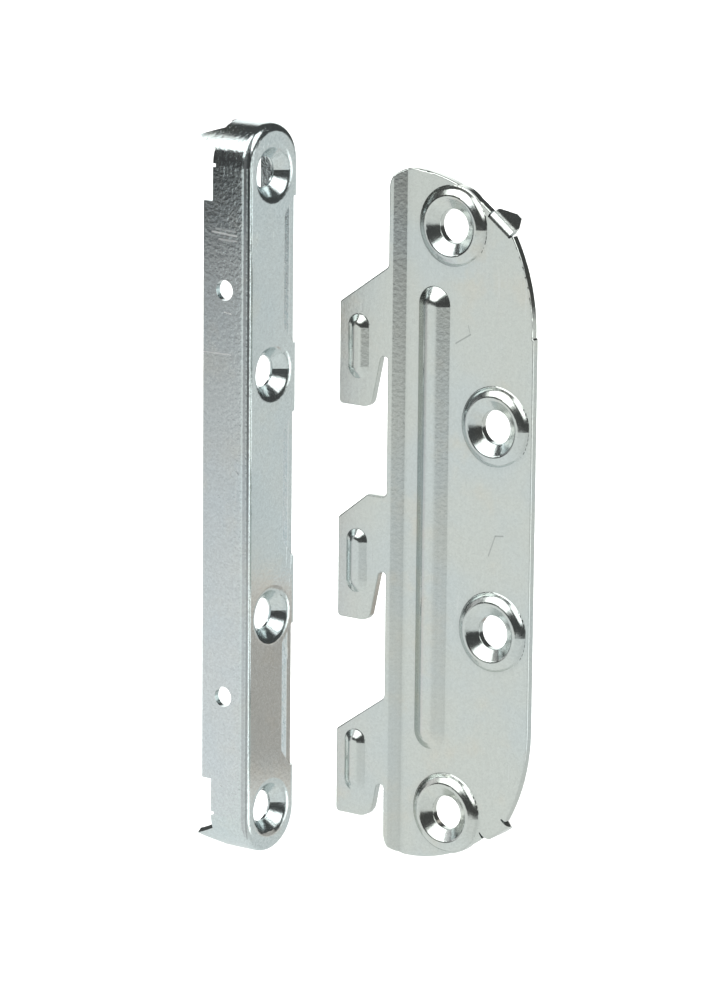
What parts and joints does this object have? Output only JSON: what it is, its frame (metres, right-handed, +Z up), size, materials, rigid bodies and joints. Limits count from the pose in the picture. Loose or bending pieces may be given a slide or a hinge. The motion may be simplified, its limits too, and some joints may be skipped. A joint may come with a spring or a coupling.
{
  "type": "bed rail fastener",
  "caption": "Two-part pressed steel bed rail fastener: a slotted pan let into the bed post and a flat plate whose side hooks drop into the slots.",
  "frame": {"origin": "midway between the catch plate's two outer screw holes, in the throats of those holes", "axes": "+Z up along both halves, +X out of the catch plate's face towards the hook plate and along the bed rail, +Y into the rail behind the hook plate"},
  "size_m": [0.0689, 0.0203, 0.1434],
  "materials": {
    "catch_zinc": "bright zinc plating with a pale blue passivation",
    "hook_zinc": "bright zinc plating with a pale blue passivation"
  },
  "bodies": {
    "root": {"catch_plate": "catch_zinc", "hook_plate": "hook_zinc"}
  },
  "joints": []
}
